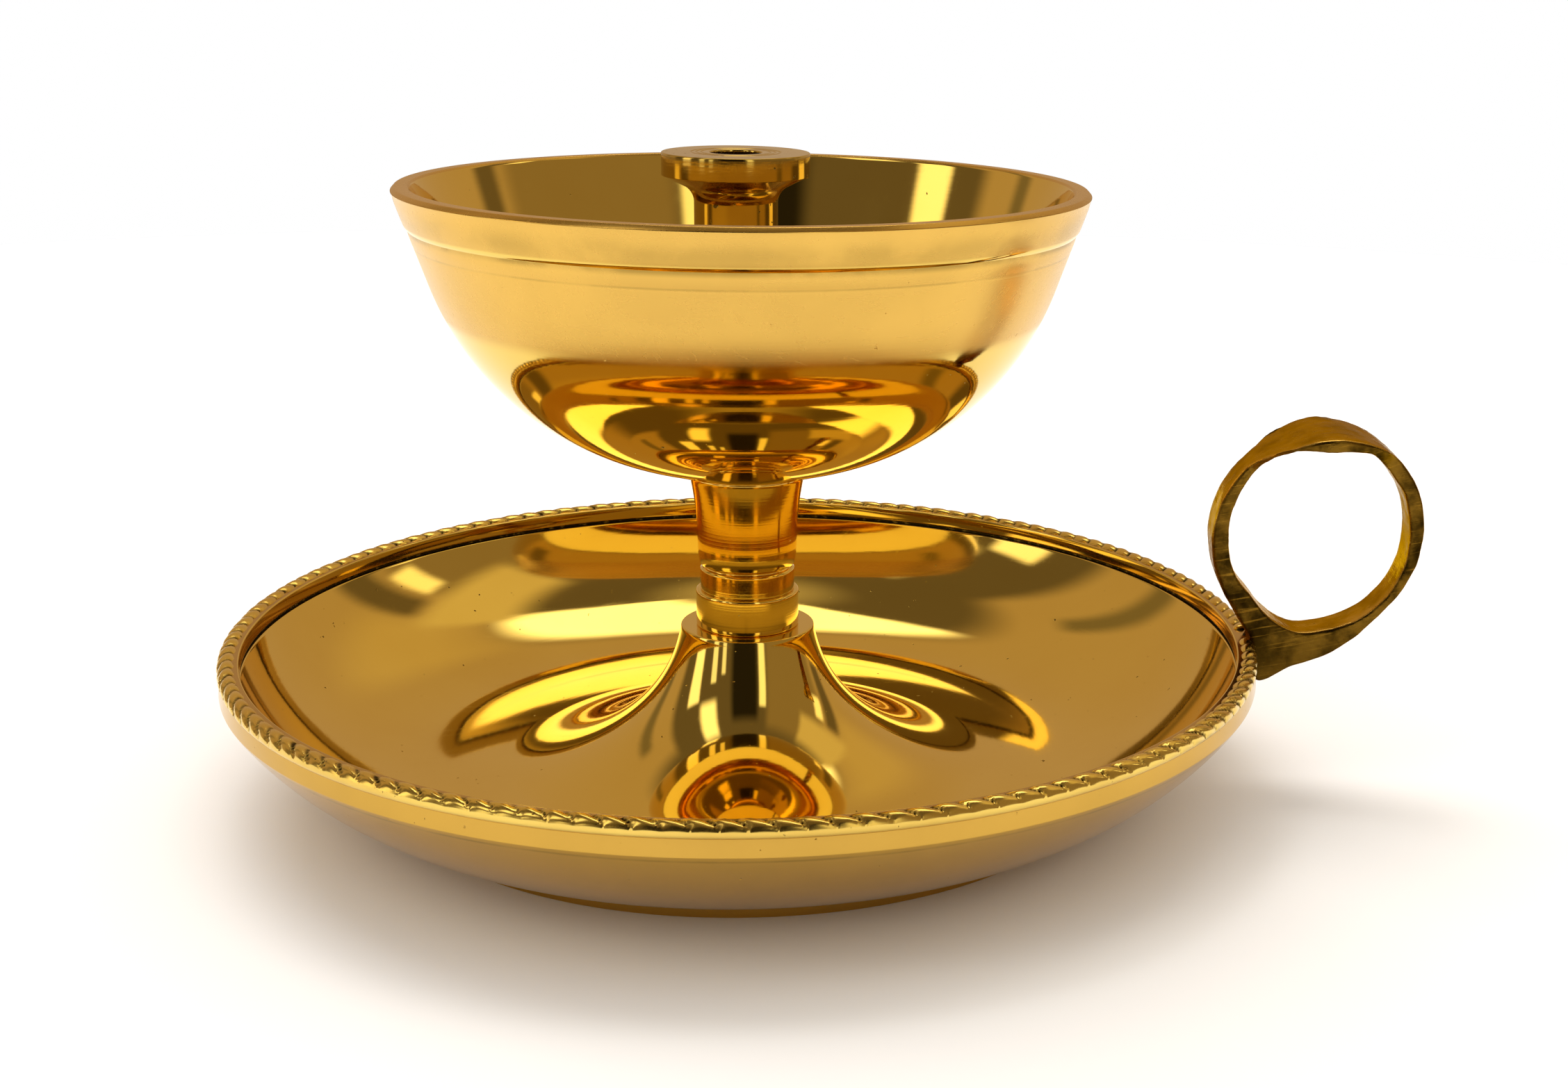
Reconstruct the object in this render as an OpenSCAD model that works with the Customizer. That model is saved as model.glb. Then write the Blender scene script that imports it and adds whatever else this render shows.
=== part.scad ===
// Brass chamber lamp: an open wick bowl on a turned stem, standing in a drip dish with a finger ring.
// Millimetres, +Z up. The origin is the centre of the foot, on the table. The finger ring is on +X.

/* [Dish] */
// Radius of the dish over its rope edge
dish_r = 65; // [62:0.5:75]
// Height of the rope edge's top above the table
dish_h = 19.7; // [18:0.1:22]
// Radius of the foot that stands on the table
foot_r = 45.5; // [43:0.5:48]
// Radius of the round underside, in section
belly_r = 36; // [34:1:44]
// Height of the dish's flat floor above the table
floor_z = 1.6; // [1.5:0.1:2.5]
// Thickness of the dish's flat floor
floor_wall = 1.2; // [1:0.1:1.3]
// Radius at which the flat floor turns up to the rim
flat_r = 38.1; // [36:0.1:40]
// Height of the groove where the dish's inside meets the rim
groove_z = 16.8; // [16:0.1:17]
// Thickness of the upright rim
rim_wall = 2.5; // [2:0.1:3]
// Height of the upright band below the rope edge
band_h = 4.3; // [3.5:0.1:6]
// Radius of the rope edge, in section
rope_r = 1.15; // [0.8:0.05:1.2]

/* [Pedestal] */
// Radius of the pedestal's flat top
pedestal_r = 8.45; // [8:0.05:11]
// Height of the pedestal's flat top
pedestal_top = 19.6; // [19:0.1:23]
// Lean of the pedestal's side at the top, in degrees
pedestal_lean = 8.6; // [4:0.1:14]
// Radius at which the pedestal's side runs out in to the flat floor
trumpet_foot_r = 30.95; // [29:0.05:33]
// How firmly the pedestal's side holds its direction at the top
trumpet_top_pull = 13.5; // [11:0.1:15]
// How firmly the pedestal's side holds its direction at the floor
trumpet_foot_pull = 6; // [5:0.1:9]
// Thickness of the pedestal's wall
pedestal_wall = 2; // [1.4:0.1:2.2]
// Thickness of the pedestal's top, which the stud passes through
pedestal_cap = 3.2; // [2.5:0.1:4]

/* [Finger ring] */
// Radius of the finger hole
hole_r = 11.35; // [10:0.05:11.6]
// Thickness of the ring's band
ring_t = 1.9; // [1.6:0.05:3]
// Width of the ring's band, along Y
ring_w = 5.5; // [4:0.1:7]
// Half width of the thumb plate
plate_half_w = 7; // [6:0.1:9]
// Half length of the thumb plate
plate_half_l = 10; // [9:0.1:11]
// Thickness of the thumb plate
plate_t = 1.7; // [1.2:0.1:2.4]
// Height of the tail where it meets the dish
tail_h = 6.6; // [5:0.1:7]

/* [Collar and stem] */
// Radius of the loose collar
collar_r = 6.52; // [6.2:0.02:7.2]
// Height of the loose collar
collar_h = 4.7; // [3:0.1:6]
// Radius of the neck at the stem's foot
neck_r = 5.95; // [5.6:0.05:6.1]
// Height of the neck
neck_h = 3; // [2.5:0.1:4.5]
// Radius of the stem's lower edge
stem_foot_r = 5.85; // [5.6:0.05:6]
// Radius of the stem at its narrowest, above the round lower end
stem_r = 6.3; // [6.1:0.05:6.8]
// Height of the stem's round lower end
bead_h = 3.4; // [1.5:0.1:4]
// Radius of the stem's top, under the bowl
flare_r = 7.3; // [7.1:0.1:8.5]

/* [Bowl] */
// Radius of the bowl's rim
bowl_r = 41.95; // [40:0.05:44]
// Height of the bowl's rim above the table
bowl_top = 75.4; // [73:0.1:79]
// Lean of the bowl's side at the rim, in degrees
bowl_lean = 18.8; // [17:0.1:21]
// Length of the bowl's straight side, along the slope
bowl_straight = 12; // [11:0.1:13.5]
// Radius of the bowl's round part, in section
bowl_round = 35; // [34.5:0.1:35.5]
// Lean of the bowl's underside where it meets the stem, in degrees
bowl_under_lean = 72.6; // [71:0.1:74]
// Thickness of the bowl's wall
bowl_wall = 2; // [1.5:0.1:2.5]
// Height of the thick lip
lip_h = 4.9; // [3.5:0.1:6]
// Radius of the bowl's flat floor
bowl_floor_r = 11.1; // [10.9:0.1:12]

/* [Wick holder] */
// Radius of the wick holder's top flange
flange_r = 8.82; // [8:0.02:11]
// Height of the top flange's edge
flange_h = 2.8; // [2:0.1:4]
// Height of the wick holder's top above the bowl's rim
holder_rise = 3.8; // [3:0.1:6]
// Radius of the wick holder's waist
waist_r = 5.1; // [4.6:0.05:6]
// Radius of the cove between the waist and the flange
cove_r = 2.2; // [1.5:0.1:3]
// Slope of the flange's underside, in degrees
under_slope = 26.6; // [10:0.1:35]
// Radius of the hole for a wick or a thin candle
wick_r = 3.15; // [2.5:0.05:3.6]
// Radius of the wick holder's foot
holder_foot_r = 9; // [8:0.1:9.4]
// Thickness of the wick holder's foot
holder_foot_h = 2.5; // [2:0.1:4]
// How far the loose wick holder stands off the bowl's centre, towards -X
holder_shift = 1.2; // [0:0.1:1.4]

/* [Fixing] */
// Outside radius of the stud's thread
stud_r = 2.5; // [2:0.1:3]
// Thread pitch: how far the bowl rises in one turn
thread_pitch = 0.8; // [0.7:0.1:1]
// Whole turns of thread in the stem
thread_turns = 9; // [6:1:9]
// Radial clearance of the stud in the stem's tapped hole
thread_gap = 0.05; // [0.02:0.01:0.1]
// Radial clearance of the stud in plain holes
plain_gap = 0.25; // [0.15:0.05:0.4]
// Width of the nut across its flats
nut_flats = 8; // [7:0.5:9]
// Height of the nut
nut_h = 4; // [3:0.5:5]
// Radius of the washer
washer_r = 5; // [4.5:0.1:5.5]
// Thickness of the washer
washer_t = 1; // [0.8:0.1:1.5]
// Radius of the bowl's spigot, which is fixed in the stem
spigot_r = 3; // [2.5:0.1:3.4]
// Length of the bowl's spigot
spigot_h = 4; // [3:0.5:4.5]

/* [Hidden] */
$fn = 96;

ARC_STEPS = 28;          // steps along the long arcs
SMALL_STEPS = 8;         // steps along the small rounds
EDGE = 0.35;             // broken edges of the turned pieces
OVER = 1;                // how far cutters run past a face
GAP = 0.2;               // least step between one point of a curve and the corner that ends it

// The dish's section
band_r = dish_r - 0.1;
rim_in_r = band_r - rim_wall;
crease_z = dish_h - band_h;
crease_r = band_r - 0.3;
foot_h = 1.5;
foot_w = 3;
groove_w = 0.45;
groove_d = 0.5;
belly_c = arc_centre([foot_r, foot_h], [crease_r, crease_z], belly_r);
side_rise = groove_z - floor_z;
side_run = rim_in_r - flat_r;
side_r = (side_rise * side_rise + side_run * side_run) / (2 * side_rise);
side_end = asin(side_run / side_r);
rope_c = [dish_r - rope_r, dish_h - rope_r];

// The pedestal's section. Its side is one smooth curve from the top, through two pull points, to the floor.
trumpet_0 = [pedestal_r, pedestal_top];
trumpet_1 = trumpet_0 + trumpet_top_pull * [sin(pedestal_lean), -cos(pedestal_lean)];
trumpet_3 = [trumpet_foot_r, floor_z];
trumpet_2 = trumpet_3 - [trumpet_foot_pull, 0];
hollow_top = pedestal_top - pedestal_cap;
recess_z = floor_z - floor_wall;
hollow = [for (p = trumpet_side(pedestal_wall)) if (p[1] > recess_z + GAP && p[1] < hollow_top - GAP) p];

// The finger ring, in its own plane: X outwards, Z up
hole_out = 7.25;         // from the dish's band out to the finger hole's centre
hole_up = 12.8;          // from the rope edge's top up to the finger hole's centre
ring_off = [-0.05, 0.6]; // the ring's outer circle is not quite concentric with the hole
square_top = 0.95;       // how far the hole's square top stands over its round
hole_c = [band_r + hole_out, dish_h + hole_up];
ring_c = hole_c + ring_off;
ring_r = hole_r + ring_t;
plate_bottom = hole_c[1] + hole_r + square_top;
plate_r = plate_bottom + plate_t - hole_c[1];
notch_in = 1.3;
notch_h = 2.3;
web_turn = 197;          // where the web leaves the ring on the dish's side, in degrees
web_in = 2.4;            // how far the web reaches in over the rope edge
web_up = 2.6;            // height of the web above the rope edge there
tail_turn = -50;         // where the tail leaves the ring on the far side, in degrees
tail_out = 3;            // how far the tail's tip line runs past the ring's centre
tail_drop = 1.2;         // how far that line is below the rope edge's top

// The stem
stem_bottom = pedestal_top + collar_h;
neck_top = stem_bottom + neck_h;
groove_h = 0.35;
bead_bottom = neck_top + groove_h;
stem_z = bead_bottom + bead_h;
groove_r = neck_r - 0.5;
thread_len = thread_pitch * thread_turns;
stud_top = stem_bottom + thread_len;

// The bowl
bowl_arc_start = [bowl_r - bowl_straight * sin(bowl_lean), bowl_top - bowl_straight * cos(bowl_lean)];
bowl_c = bowl_arc_start + bowl_round * [-cos(bowl_lean), sin(bowl_lean)];
bowl_arc_end = bowl_c + bowl_round * [cos(bowl_under_lean), -sin(bowl_under_lean)];
stem_top = bowl_arc_end[1] - (bowl_arc_end[0] - flare_r) / tan(bowl_under_lean);
bowl_in_r = bowl_round - bowl_wall;
bowl_floor_z = bowl_c[1] - sqrt(bowl_in_r * bowl_in_r - pow(bowl_floor_r - bowl_c[0], 2));
bowl_in_end = asin((bowl_c[1] - bowl_floor_z) / bowl_in_r);
flare_d = flare_r - stem_r;
flare_rise = stem_top - stem_z;
flare_arc = (flare_rise * flare_rise + flare_d * flare_d) / (2 * flare_d);
lip_swell = 0.2;         // how far the lip stands out from the bowl's side
lip_swell_z = 1.7;       // depth below the rim where the lip swells most
lip_top = 0.5;           // broken edge of the rim
lip_in = 0.3;            // broken edge inside the rim

// The wick holder
holder_top = bowl_top + holder_rise;
under_run = flange_r - EDGE / 2 - waist_r - cove_r * (1 - sin(under_slope));
waist_top = holder_top - flange_h - under_run * tan(under_slope) - cove_r * cos(under_slope);

// The stud
stud_tail = 1.4;         // how far the stud stands out below the nut
nut_top = hollow_top - washer_t;
stud_bottom = nut_top - nut_h - stud_tail;

// Points of an arc about c, from angle a0 to a1 in degrees
function arc(c, r, a0, a1, n) = [for (i = [0:n]) c + r * [cos(a0 + (a1 - a0) * i / n), sin(a0 + (a1 - a0) * i / n)]];

// Centre of the arc of radius r from p to q that bulges to the right of the way from p to q
function arc_centre(p, q, r) =
    let (d = q - p, half = norm(d) / 2, rise = sqrt(r * r - half * half))
    (p + q) / 2 + rise * [-d[1], d[0]] / norm(d);

// The pedestal's side from the top down, offset inwards by the wall
function trumpet_side(wall) = [
    for (i = [0:ARC_STEPS])
        let (
            t = i / ARC_STEPS,
            u = 1 - t,
            place = u * u * u * trumpet_0 + 3 * u * u * t * trumpet_1 + 3 * u * t * t * trumpet_2
                + t * t * t * trumpet_3,
            way = u * u * (trumpet_1 - trumpet_0) + 2 * u * t * (trumpet_2 - trumpet_1)
                + t * t * (trumpet_3 - trumpet_2)
        )
        place + wall / norm(way) * [way[1], -way[0]]
];

// The same points from the last to the first
function reversed(points) = [for (i = [len(points) - 1:-1:0]) points[i]];

module spin(points)
{
    rotate_extrude() polygon(points);
}

// A plain turned disc or post with a broken edge at the top and the bottom
module turned(r, z0, z1)
{
    spin([[0, z0], [r - EDGE, z0], [r, z0 + EDGE], [r, z1 - EDGE], [r - EDGE, z1], [0, z1]]);
}

module saucer_blank()
{
    spin(concat(
        [[0, pedestal_top]],
        trumpet_side(0),
        arc([flat_r, floor_z + side_r], side_r, 270, 270 + side_end, ARC_STEPS),
        [
            [rim_in_r + groove_d, groove_z],
            [rim_in_r + groove_d, groove_z + groove_w],
            [rim_in_r, groove_z + groove_w],
            [rim_in_r, dish_h - EDGE]
        ],
        arc(rope_c, rope_r, 90, -20, SMALL_STEPS),
        [[band_r, rope_c[1] - rope_r], [band_r, crease_z + EDGE]],
        belly_outside(),
        [
            [foot_r, 0],
            [foot_r - foot_w, 0],
            [foot_r - foot_w - recess_z, recess_z]
        ],
        [[hollow[len(hollow) - 1][0] + OVER, recess_z]],
        reversed(hollow),
        [[hollow[0][0], hollow_top], [0, hollow_top]]
    ));
}

// The round underside, from the crease down to the foot
function belly_outside() =
    let (
        a0 = asin((crease_z - belly_c[1]) / belly_r),
        a1 = asin((foot_h - belly_c[1]) / belly_r)
    )
    arc(belly_c, belly_r, a0, a1, ARC_STEPS);

module saucer()
{
    color("goldenrod") difference() {
        saucer_blank();
        translate([0, 0, hollow_top - OVER])
            cylinder(r = stud_r + plain_gap, h = pedestal_cap + 2 * OVER);
        translate([band_r - notch_in, -ring_w / 2, dish_h - notch_h])
            cube([notch_in + OVER, ring_w, notch_h + OVER]);
    }
}

// The finger ring seen from the side: the round band and the tail that runs in to the dish
module ring_outline()
{
    translate(ring_c) circle(r = ring_r);
    polygon([
        ring_c,
        ring_c + ring_r * [cos(web_turn), sin(web_turn)],
        [band_r - web_in, dish_h + web_up],
        [band_r, dish_h + OVER / 10],
        [band_r, dish_h - tail_h],
        [ring_c[0] + tail_out, dish_h - tail_drop],
        ring_c + ring_r * [cos(tail_turn), sin(tail_turn)]
    ]);
}

// The finger hole seen from the side: round, with its top drawn up square under the plate
module hole_outline()
{
    top_half = 5;
    side = hole_r * [cos(35), sin(35)];
    translate(hole_c) circle(r = hole_r);
    polygon([
        hole_c + [-side[0], side[1]],
        hole_c + side,
        [hole_c[0] + top_half, plate_bottom],
        [hole_c[0] - top_half, plate_bottom]
    ]);
}

// Stands an X-Z outline up, with the thickness w along Y
module upright(w)
{
    translate([0, w / 2, 0]) rotate([90, 0, 0]) linear_extrude(height = w) children();
}

module thumb_plate()
{
    leaf_r = (pow(plate_half_w, 2) + pow(plate_half_l, 2)) / (2 * plate_half_w);
    intersection() {
        translate([hole_c[0], leaf_r - plate_half_w, 0]) cylinder(r = leaf_r, h = 2 * plate_bottom);
        translate([hole_c[0], plate_half_w - leaf_r, 0]) cylinder(r = leaf_r, h = 2 * plate_bottom);
        upright(2 * plate_half_w) translate(hole_c) circle(r = plate_r);
        translate([hole_c[0] - plate_half_l, -plate_half_w, plate_bottom])
            cube([2 * plate_half_l, 2 * plate_half_w, 2 * plate_t]);
    }
}

// The root of the finger ring, let in to a notch in the rope edge
module tongue()
{
    translate([band_r - notch_in, -ring_w / 2, dish_h - notch_h]) cube([notch_in + EDGE, ring_w, notch_h]);
}

module handle()
{
    color("darkgoldenrod") union() {
        difference() {
            upright(ring_w) difference() {
                ring_outline();
                hole_outline();
            }
            translate([0, 0, -OVER]) cylinder(r = band_r, h = dish_h + OVER);
        }
        thumb_plate();
        tongue();
    }
}

module tie_stud()
{
    color("gold") turned(stud_r, stud_bottom, stud_top - 2 * thread_gap);
}

module washer()
{
    color("gold") difference() {
        translate([0, 0, nut_top]) cylinder(r = washer_r, h = washer_t);
        translate([0, 0, nut_top - OVER]) cylinder(r = stud_r + plain_gap, h = washer_t + 2 * OVER);
    }
}

module nut()
{
    color("gold") difference() {
        translate([0, 0, nut_top - nut_h])
            cylinder(r = nut_flats / 2 / cos(30), h = nut_h, $fn = 6);
        translate([0, 0, nut_top - nut_h - OVER]) cylinder(r = stud_r, h = nut_h + 2 * OVER);
    }
}

module collar()
{
    color("khaki") difference() {
        turned(collar_r, pedestal_top, stem_bottom);
        translate([0, 0, pedestal_top - OVER]) cylinder(r = stud_r + plain_gap, h = collar_h + 2 * OVER);
    }
}

module stem()
{
    color("goldenrod") difference() {
        spin(concat(
            [
                [0, stem_bottom],
                [neck_r, stem_bottom],
                [neck_r, neck_top - EDGE],
                [neck_r - EDGE, neck_top],
                [groove_r, neck_top],
                [groove_r, bead_bottom]
            ],
            [for (i = [0:SMALL_STEPS])
                let (a = 90 * i / SMALL_STEPS)
                [stem_foot_r + (stem_r - stem_foot_r) * sin(a), stem_z - bead_h * cos(a)]],
            arc([stem_r + flare_arc, stem_z], flare_arc, 180, 180 - asin(flare_rise / flare_arc), SMALL_STEPS),
            [[0, stem_top]]
        ));
        translate([0, 0, stem_bottom - OVER])
            cylinder(r = stud_r + thread_gap, h = thread_len + 2 * OVER);
        translate([0, 0, stem_top - spigot_h])
            cylinder(r = spigot_r, h = spigot_h + OVER);
    }
}

module bowl()
{
    wall_across = bowl_wall / cos(bowl_lean);
    step = [bowl_r - lip_h * tan(bowl_lean), bowl_top - lip_h];
    color("goldenrod") union() {
        spin(concat(
            [[0, stem_top], [flare_r, stem_top]],
            arc(bowl_c, bowl_round, -bowl_under_lean, -bowl_lean, ARC_STEPS),
            [
                step,
                step + [lip_swell, EDGE],
                [bowl_r - lip_swell_z * tan(bowl_lean) + lip_swell, bowl_top - lip_swell_z],
                [bowl_r, bowl_top - lip_top],
                [bowl_r - lip_top, bowl_top],
                [bowl_r - wall_across + lip_in, bowl_top],
                [bowl_r - wall_across, bowl_top - lip_in]
            ],
            arc(bowl_c, bowl_in_r, -bowl_lean, -bowl_in_end, ARC_STEPS),
            [[0, bowl_floor_z]]
        ));
        translate([0, 0, stem_top - spigot_h + EDGE]) cylinder(r = spigot_r, h = spigot_h);
    }
}

module wick_holder()
{
    slot_w = 2.4;        // oil slots under the foot
    slot_h = 1.4;
    foot_top = bowl_floor_z + holder_foot_h;
    foot_cove = holder_foot_r - EDGE - waist_r;
    color("khaki") translate([-holder_shift, 0, 0]) difference() {
        spin(concat(
            [[0, bowl_floor_z], [holder_foot_r, bowl_floor_z], [holder_foot_r, foot_top - EDGE]],
            arc([waist_r + foot_cove, foot_top + foot_cove], foot_cove, 270, 180, SMALL_STEPS),
            arc([waist_r + cove_r, waist_top], cove_r, 180, 90 + under_slope, SMALL_STEPS),
            [
                [flange_r - EDGE / 2, holder_top - flange_h],
                [flange_r, holder_top - flange_h + EDGE / 2],
                [flange_r, holder_top - EDGE / 2],
                [flange_r - EDGE / 2, holder_top],
                [0, holder_top]
            ]
        ));
        translate([0, 0, bowl_floor_z - OVER]) cylinder(r = wick_r, h = holder_top - bowl_floor_z + 2 * OVER);
        for (turn = [45, 135])
            rotate(turn) translate([-2 * holder_foot_r, -slot_w / 2, bowl_floor_z - OVER])
                cube([4 * holder_foot_r, slot_w, slot_h + OVER]);
    }
}

saucer();
handle();
tie_stud();
washer();
nut();
collar();
stem();
bowl();
wick_holder();
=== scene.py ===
import math
from collections import namedtuple

import bmesh
import bpy
import numpy as np
from mathutils import Matrix, Vector, noise


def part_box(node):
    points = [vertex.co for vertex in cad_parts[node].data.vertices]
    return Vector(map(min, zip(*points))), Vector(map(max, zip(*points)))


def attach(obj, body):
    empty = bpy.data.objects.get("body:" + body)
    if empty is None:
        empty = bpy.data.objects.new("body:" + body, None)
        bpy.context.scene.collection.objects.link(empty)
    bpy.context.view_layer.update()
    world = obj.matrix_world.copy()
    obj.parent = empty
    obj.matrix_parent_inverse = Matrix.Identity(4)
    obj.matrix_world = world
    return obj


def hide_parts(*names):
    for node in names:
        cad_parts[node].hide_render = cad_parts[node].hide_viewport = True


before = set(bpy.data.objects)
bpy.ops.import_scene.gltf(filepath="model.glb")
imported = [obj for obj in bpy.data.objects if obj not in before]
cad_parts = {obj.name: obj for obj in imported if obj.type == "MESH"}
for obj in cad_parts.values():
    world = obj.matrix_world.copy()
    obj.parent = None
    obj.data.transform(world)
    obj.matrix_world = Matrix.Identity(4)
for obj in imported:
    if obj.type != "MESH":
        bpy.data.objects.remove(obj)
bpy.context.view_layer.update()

# ---------------------------------------------------------------- sizes
# Millimetres, as in the CAD source. MM turns them into metres when a mesh is made.
MM = 0.001
ON_AXIS = 1e-6


def node_box(name):
    """Lowest and highest corner of a CAD node, in millimetres."""
    low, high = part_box(name)
    return low / MM, high / MM


SAUCER_HIGH = node_box("saucer")[1]
COLLAR_LOW, COLLAR_HIGH = node_box("collar")
STEM_LOW, STEM_HIGH = node_box("stem")
BOWL_HIGH = node_box("bowl")[1]
HOLDER_LOW, HOLDER_HIGH = node_box("wick_holder")
HANDLE_LOW = node_box("handle")[0]
STUD_LOW, STUD_HIGH = node_box("tie_stud")
WASHER_LOW, WASHER_HIGH = node_box("washer")
NUT_LOW, NUT_HIGH = node_box("nut")

# Dish
DISH_R = SAUCER_HIGH.x
DISH_TOP = SAUCER_HIGH.z
FOOT_R = 45.5
FOOT_H = 1.5
FOOT_W = 3.0
BELLY_R = 36.0
FLOOR_Z = 1.6
FLOOR_WALL = 1.2
FLAT_R = 38.1
GROOVE_Z = 16.8
BAND_R = DISH_R - 0.1
RIM_IN_R = BAND_R - 2.5
CREASE_R = BAND_R - 0.3
CREASE_Z = DISH_TOP - 4.3
GROOVE_W = 0.45
GROOVE_D = 0.5
ROPE_BED = DISH_TOP - 0.55
DISH_EDGE = 0.22

# Rope edge of the dish. The twist is in beads and the ridge is a power: the lower, the squarer the beads.
ROPE_R = 1.15
ROPE_BEADS = 140
ROPE_TWIST = 0.55
ROPE_DEPTH = 0.5
ROPE_UNEVEN = 0.07
ROPE_RIDGE = 0.35
ROPE_SLACK = 0.02
NICK_DEPTH = 0.12
NICK_SPREAD = 22
NOTCH_HALF = 2.6
NOTCH_DEPTH = 0.45
NOTCH_FADE = 0.8

# Pedestal
PEDESTAL_R = 8.45
PEDESTAL_TOP = COLLAR_LOW.z
PEDESTAL_LEAN = math.radians(8.6)
PEDESTAL_WALL = 2.0
TRUMPET_FOOT_R = 30.95
TRUMPET_TOP_PULL = 13.5
TRUMPET_FOOT_PULL = 6.0
HOLLOW_TOP = WASHER_HIGH.z
STUD_HOLE_R = 2.75

# Finger ring
HOLE_X = BAND_R + 7.25
HOLE_Z = DISH_TOP + 12.8
RING_HALF_W = 2.75
RING_EDGE = 0.38
PLATE_HALF_W = 7.0
PLATE_HALF_L = 10.0
PLATE_FILLET = 1.2
WAVE_DEPTH = 0.10
WAVES_PER_MM = 0.45
GRAIN_DEPTH = 0.03
GRAINS_PER_MM = 1.5

# Stem
NECK_R = 5.95
NECK_TOP = COLLAR_HIGH.z + 3.0
GROOVE_R = NECK_R - 0.5
BEAD_BOTTOM = NECK_TOP + 0.35
BEAD_H = 3.4
STEM_FOOT_R = 5.85
STEM_R = 6.3
FLARE_R = 7.3
TAPPED_R = 2.55
TAPPED_TOP = COLLAR_HIGH.z + 7.2
TAPPED_CHAMFER = 0.4
TAPPED_CONE = 0.6
COLLAR_EDGE = 0.3
NECK_CHAMFER = 0.25

# Bowl
BOWL_R = BOWL_HIGH.x
BOWL_TOP = BOWL_HIGH.z
BOWL_LEAN = math.radians(18.8)
BOWL_STRAIGHT = 12.0
BOWL_ROUND = 35.0
BOWL_UNDER_LEAN = math.radians(72.6)
BOWL_WALL = 2.0
BOWL_FLOOR_R = 11.1
LIP_H = 4.9
SPIGOT_R = 3.0
SPIGOT_H = 4.0

# Wick holder
HOLDER_X = (HOLDER_LOW.x + HOLDER_HIGH.x) / 2
FLANGE_R = (HOLDER_HIGH.x - HOLDER_LOW.x) / 2
FLANGE_H = 2.8
UNDER_SLOPE = math.radians(26.6)
COVE_R = 2.2
FLANGE_EDGE = 0.2
HOLDER_FOOT_R = 9.0
HOLDER_FOOT_H = 2.5
HOLDER_FOOT_EDGE = 0.35
WAIST_R = 5.1
WICK_R = 3.15
SLOT_W = 2.4
SLOT_H = 1.4
RING_MARKS = (0.9, 1.5, 2.1)
RING_MARK_W = 0.3
RING_MARK_D = 0.14

# Fixing
THREAD_PITCH = 0.8
THREAD_DEPTH = 0.42
THREAD_SLACK = 0.01
NUT_SLACK = 0.02
STUD_CONE = 0.6
WASHER_EDGE = 0.2
NUT_FACE_SHARE = 0.96
NUT_CHAMFER = math.radians(30)

# How finely the meshes are cut
DISH_SEGMENTS = 288
BOWL_SEGMENTS = 384
TURNED_SEGMENTS = 192
SMALL_SEGMENTS = 96
SHARP_ANGLE = math.radians(38)


# ---------------------------------------------------------------- outlines
def arc(centre, radius, start, end, steps):
    """Points of an arc in the r-z plane, from angle start to end, in radians."""
    turn = np.linspace(start, end, steps + 1)
    return [(centre[0] + radius * math.cos(a), centre[1] + radius * math.sin(a)) for a in turn]


def arc_centre(p, q, radius):
    """Centre of the arc from p to q that bulges to the right of the way from p to q."""
    dx, dz = q[0] - p[0], q[1] - p[1]
    length = math.hypot(dx, dz)
    rise = math.sqrt(radius * radius - length * length / 4)
    return (p[0] + q[0]) / 2 - rise * dz / length, (p[1] + q[1]) / 2 + rise * dx / length


def soften(points, radius, steps=4, min_turn=math.radians(16)):
    """Rounds the sharp corners of an open outline with arcs of about this radius."""
    out = [points[0]]
    for before, corner, after in zip(points, points[1:], points[2:]):
        a = Vector(before) - Vector(corner)
        b = Vector(after) - Vector(corner)
        turn = math.pi - a.angle(b)
        if turn < min_turn:
            out.append(corner)
            continue
        setback = min(radius * math.tan(turn / 2), a.length * 0.45, b.length * 0.45)
        start = Vector(corner) + a.normalized() * setback
        end = Vector(corner) + b.normalized() * setback
        for t in np.linspace(0, 1, steps + 1):
            p = start.lerp(Vector(corner), t).lerp(Vector(corner).lerp(end, t), t)
            out.append((p.x, p.y))
    out.append(points[-1])
    return out


def spaced(points, step):
    """Adds points to the long straight stretches, close to their ends, so that shading stays flat there."""
    out = [points[0]]
    for p, q in zip(points, points[1:]):
        length = math.dist(p, q)
        if length > 2 * step:
            count = max(2, int(length / step))
            ends = min(0.15 / length, 0.5 / count)
            shares = [ends] + [i / count for i in range(1, count)] + [1 - ends]
            out += [(p[0] + (q[0] - p[0]) * s, p[1] + (q[1] - p[1]) * s) for s in shares]
        out.append(q)
    return out


# ---------------------------------------------------------------- meshes
def face_outwards(mesh):
    """Turns every face of a closed mesh to face outwards."""
    shape = bmesh.new()
    shape.from_mesh(mesh)
    bmesh.ops.recalc_face_normals(shape, faces=shape.faces)
    shape.to_mesh(mesh)
    shape.free()


def new_object(name, points, faces, body, replaced=()):
    """Makes a smooth-shaded mesh object in metres from points in millimetres, riding on a body."""
    mesh = bpy.data.meshes.new(name)
    mesh.from_pydata((np.asarray(points, float) * MM).tolist(), [], faces)
    mesh.validate()
    face_outwards(mesh)
    mesh.polygons.foreach_set("use_smooth", [True] * len(mesh.polygons))
    mesh.set_sharp_from_angle(angle=SHARP_ANGLE)
    piece = bpy.data.objects.new(name, mesh)
    bpy.context.scene.collection.objects.link(piece)
    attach(piece, body)
    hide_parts(*replaced)
    return piece


def ring_faces(rows, columns, wrap_rows=False):
    """Quads of a grid whose columns wrap round. The rows wrap too where wrap_rows is true."""
    faces = []
    for i in range(rows if wrap_rows else rows - 1):
        a, b = i * columns, (i + 1) % rows * columns
        faces += [(a + j, b + j, b + (j + 1) % columns, a + (j + 1) % columns) for j in range(columns)]
    return faces


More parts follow.
